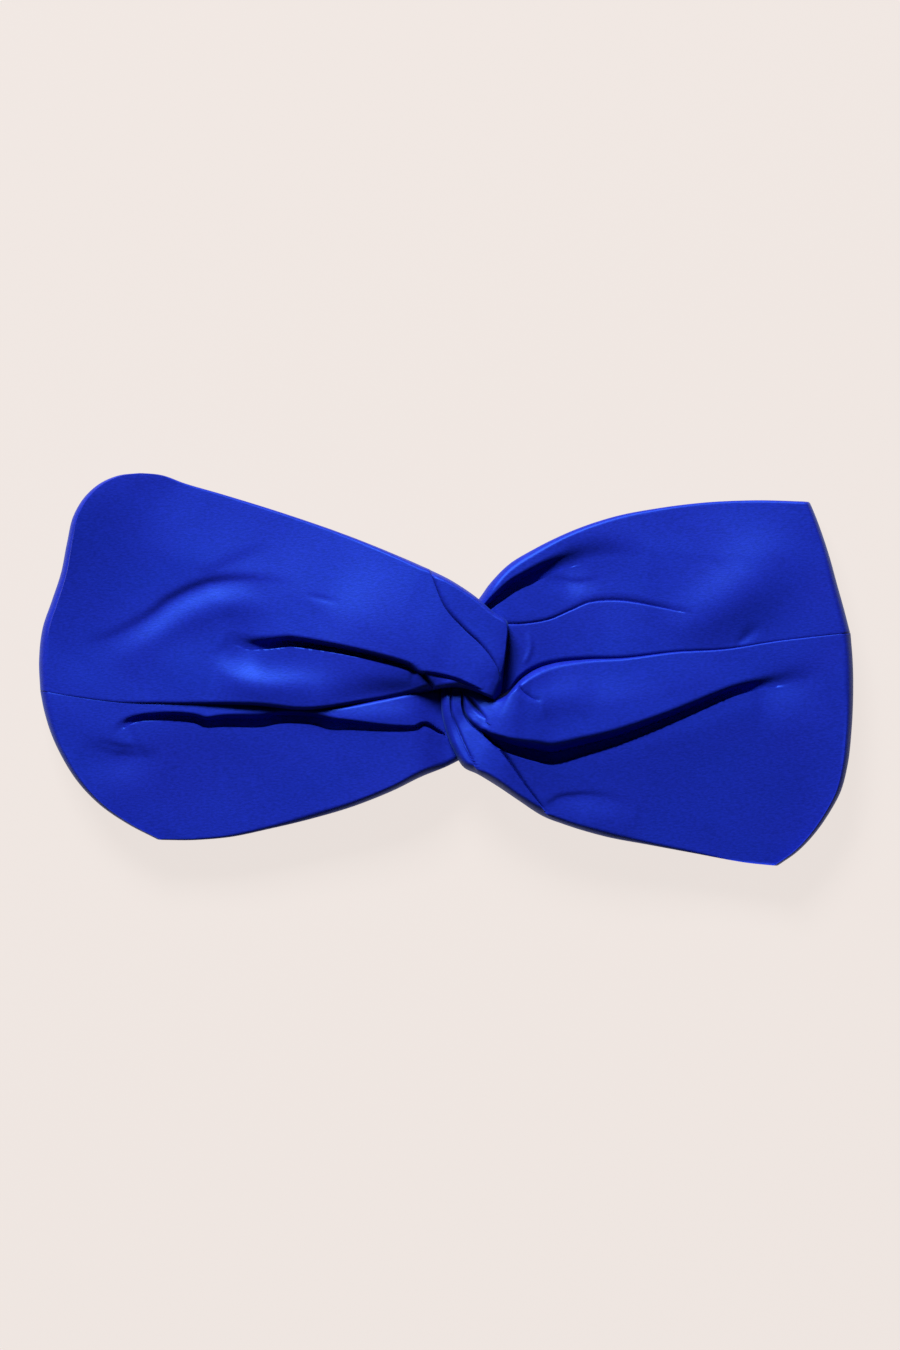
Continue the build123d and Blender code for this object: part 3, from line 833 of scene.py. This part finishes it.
def label_finish():
    """A plain satin label, with the faint lines of its weave."""
    label = Finish("plain_label")
    weft = label.waves("Y", 2400, 0.3)
    warp = label.noise((1800, 260, 300), detail=2.0)
    label.colour(label.ramp(label.both(weft, warp), (0.66, 0.64, 0.60), (0.84, 0.82, 0.78), 0.1, 0.6))
    label.bump(weft, 0.35, 0.0001)
    label.set(Roughness=0.38, Specular_IOR_Level=0.5, Sheen_Weight=0.1)
    return label.material


silk = silk_finish()
wadding = wadding_finish()
thread = thread_finish()
elastic = elastic_finish()
label = label_finish()

# ---------------------------------------------------------------- build

ARMS = (
    ("left_upper", left_fold_upper, left_upper_ribs, left_back_upper, left_upper_folds, 0.0),
    ("left_lower", left_fold_lower, left_lower_ribs, left_back_lower, left_lower_folds, 1.3),
    ("right_upper", right_fold_upper, right_upper_ribs, right_back_upper, right_upper_folds, 2.1),
    ("right_lower", right_fold_lower, right_lower_ribs, right_back_lower, right_lower_folds, 0.6),
)
for name, fold, ribs, back_ribs, folds, lie in ARMS:
    half = name.split("_")[0]
    outer, inner, front_count = arm(fold, ribs, back_ribs, folds, lie, seam_low=name.endswith("upper"))
    sewn = mesh_object(f"{name}_silk", *sleeve(outer, inner), silk)
    pad = mesh_object(f"{name}_fill", *filling(outer[:front_count], inner[:front_count]), wadding)
    stands_for = (
        (pad, f"{name}_wadding", "wadding", 0.5),
        (sewn, f"{half}_band_silk", "silk", 0.4),
    )
    for piece, node_name, slot, fill in stands_for:
        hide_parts(node_name)
        if half == "right":
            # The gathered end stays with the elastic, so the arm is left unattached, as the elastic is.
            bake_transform(piece)
        else:
            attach(piece, "left_half")

# ---------------------------------------------------------------- elastic, casing, label and threads

ELASTIC_Y = -6.0  # middle of the elastic and of its casing
ELASTIC_Z = 2.5  # their middle level
SEWN_LEVEL = 2.74  # the back's top where the label is sewn to it


def ring_mesh(rings, close_ends):
    """Points and faces of rings of points, each joined to the next, and closed at both ends if asked."""
    count, around = rings.shape[:2]
    ids = np.arange(count * around).reshape(count, around)
    turned = np.roll(ids, -1, axis=1)
    faces = np.stack([ids[:-1], turned[:-1], turned[1:], ids[1:]], -1).reshape(-1, 4).tolist()
    if close_ends:
        faces += [ids[0, ::-1].tolist(), ids[-1].tolist()]
    return rings.reshape(-1, 3), faces


def casing():
    """The ruched silk sleeve round the elastic: two skins, joined at both ends."""
    half_length, half_width, half_height, cloth = 47.9, 13.1, 1.45, 0.35
    turns = np.linspace(0, 2 * np.pi, 96, endpoint=False)
    side, rise = np.cos(turns), np.sin(turns)
    # The section is a flat oval.
    flat_y = np.sign(side) * np.abs(side) ** 0.45
    flat_z = np.sign(rise) * np.abs(rise) ** 0.8
    skins = []
    for skin in (0.0, cloth):
        rings = []
        for x in np.linspace(-half_length, half_length, 420):
            end = smoothly((half_length - abs(x)) / 4.0)
            y = ELASTIC_Y + flat_y * half_width
            # Ridges every 3 mm, which sway round the sleeve and flatten at its ends.
            sway = 0.9 * np.sin(0.30 * y + 0.11 * x) + 0.7 * np.sin(0.23 * x)
            sway = sway + 0.5 * np.sin(0.9 * turns + 0.05 * x)
            ridge = np.abs(np.sin(np.pi * x / 3.0 + sway)) ** 0.75
            out = 0.95 * ridge * (0.35 + 0.65 * end)
            edge_wave = 0.35 * np.sin(0.8 * x + 2.0 * rise) * flat_y * end
            ring_y = y + flat_y * (0.8 * out - skin) + edge_wave
            ring_z = ELASTIC_Z + flat_z * (half_height + out * (1.25 + 0.35 * rise) - skin)
            rings.append(np.column_stack([np.full_like(y, x), ring_y, ring_z]))
        skins.append(np.array(rings))
    outer, inner = skins
    points, faces = ring_mesh(outer, False)
    more, inner_faces = ring_mesh(inner, False)
    shift = len(points)
    faces += [[shift + v for v in face[::-1]] for face in inner_faces]
    around, last = len(turns), shift - len(turns)
    for j in range(around):
        k = (j + 1) % around
        faces.append([k, j, shift + j, shift + k])
        faces.append([last + j, last + k, shift + last + k, shift + last + j])
    return np.concatenate([points, more]), faces


def elastic_strip():
    """The flat elastic: cords run along it under the yarn, so both faces are ribbed."""
    half_length, half_width, half_height, cord = 53.6, 11.5, 0.62, 1.64
    across = np.linspace(ELASTIC_Y - half_width, ELASTIC_Y + half_width, 93)
    rib = 0.12 * np.abs(np.sin(np.pi * (across - across[0]) / cord))
    edge = np.sqrt(np.clip(1 - (np.abs(across - ELASTIC_Y) / half_width) ** 16, 0, 1))
    rings = []
    for x in np.linspace(-half_length, half_length, 180):
        swell = 0.03 * np.sin(x * 2.1)
        half = edge * (half_height + rib + swell)
        top = np.column_stack([np.full_like(across, x), across, ELASTIC_Z + half])
        low = np.column_stack([np.full_like(across, x), across, ELASTIC_Z - half])[::-1]
        rings.append(np.concatenate([top, low[1:-1]]))
    return ring_mesh(np.array(rings)[:, ::-1], True)


def label_tab():
    """The plain label: sewn flat along its end at low y, its free end lifting a little."""
    rows, columns = 40, 26
    corner_x, corner_y, width, length, thick = -92, -19, 16, 25.9, 0.22
    u, v = np.meshgrid(np.linspace(0, 1, columns), np.linspace(0, 1, rows), indexing="ij")
    x = corner_x + width * u + 0.25 * np.sin(2.2 * v + 0.4)
    y = corner_y + length * v
    lift = 0.16 + 1.5 * smoothly((v - 0.45) / 0.75) ** 1.4 + 0.10 * np.sin(5 * u + 3 * v) * v
    top = np.stack([x, y, SEWN_LEVEL + lift + thick], -1)
    low = np.stack([x, y, SEWN_LEVEL + lift], -1)
    return sleeve(top, low)


gathered = mesh_object("elastic_casing_ruched", *casing(), silk)
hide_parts("elastic_casing")
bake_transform(gathered)

strip = mesh_object("elastic_band_ribbed", *elastic_strip(), elastic)
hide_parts("elastic_band")
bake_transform(strip)

tab = mesh_object("care_label_plain", *label_tab(), label)
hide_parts("care_label")
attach(tab, "left_half")

for name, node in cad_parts.items():
    if name.endswith(("_thread", "_stitches", "_bartack")):
        node.data.materials.clear()
        node.data.materials.append(thread)

# ---------------------------------------------------------------- studio


def floor_paper():
    """Seamless pale paper, which glows a little so that it stays evenly light."""
    material = bpy.data.materials.new("floor_paper")
    material.use_nodes = True
    shader = material.node_tree.nodes["Principled BSDF"]
    shader.inputs["Base Color"].default_value = (0.025, 0.023, 0.022, 1)
    shader.inputs["Emission Color"].default_value = (0.88, 0.807, 0.768, 1)
    shader.inputs["Emission Strength"].default_value = 0.915
    shader.inputs["Roughness"].default_value = 0.9
    shader.inputs["Specular IOR Level"].default_value = 0.1
    return material


FLOOR_REACH = 4000
floor_corners = [(x * FLOOR_REACH, y * FLOOR_REACH, 0) for x, y in ((-1, -1), (1, -1), (1, 1), (-1, 1))]
floor = mesh_object("floor", floor_corners, [[0, 1, 2, 3]], floor_paper())


def softbox(name, location, size, power):
    """A soft rectangular light that points at the middle of the band."""
    lamp = bpy.data.lights.new(name, "AREA")
    lamp.shape = "RECTANGLE"
    lamp.size, lamp.size_y = size
    lamp.energy = power
    holder = bpy.data.objects.new(name, lamp)
    holder.location = location
    holder.rotation_euler = (-Vector(location)).to_track_quat("-Z", "Y").to_euler()
    bpy.context.scene.collection.objects.link(holder)


softbox("key", (-0.85, 2.45, 1.85), (1.4, 1.0), 398)

world = bpy.data.worlds.new("studio")
world.use_nodes = True
backdrop = world.node_tree.nodes["Background"]
backdrop.inputs["Color"].default_value = (1, 0.97, 0.95, 1)
backdrop.inputs["Strength"].default_value = 0.03
bpy.context.scene.world = world
bpy.context.scene.view_settings.view_transform = "Standard"

camera_data = bpy.data.cameras.new("camera")
camera = bpy.data.objects.new("camera", camera_data)
camera_height = 2.0
sized_level = 0.01  # about the level of the band's outline
picture_height = 0.4136  # what the picture shows at that level, along its longer side
camera_data.lens = camera_data.sensor_width * (camera_height - sized_level) / picture_height
camera.location = (0.0012, -0.0017, camera_height)
camera_data.clip_end = 20
bpy.context.scene.collection.objects.link(camera)
bpy.context.scene.camera = camera
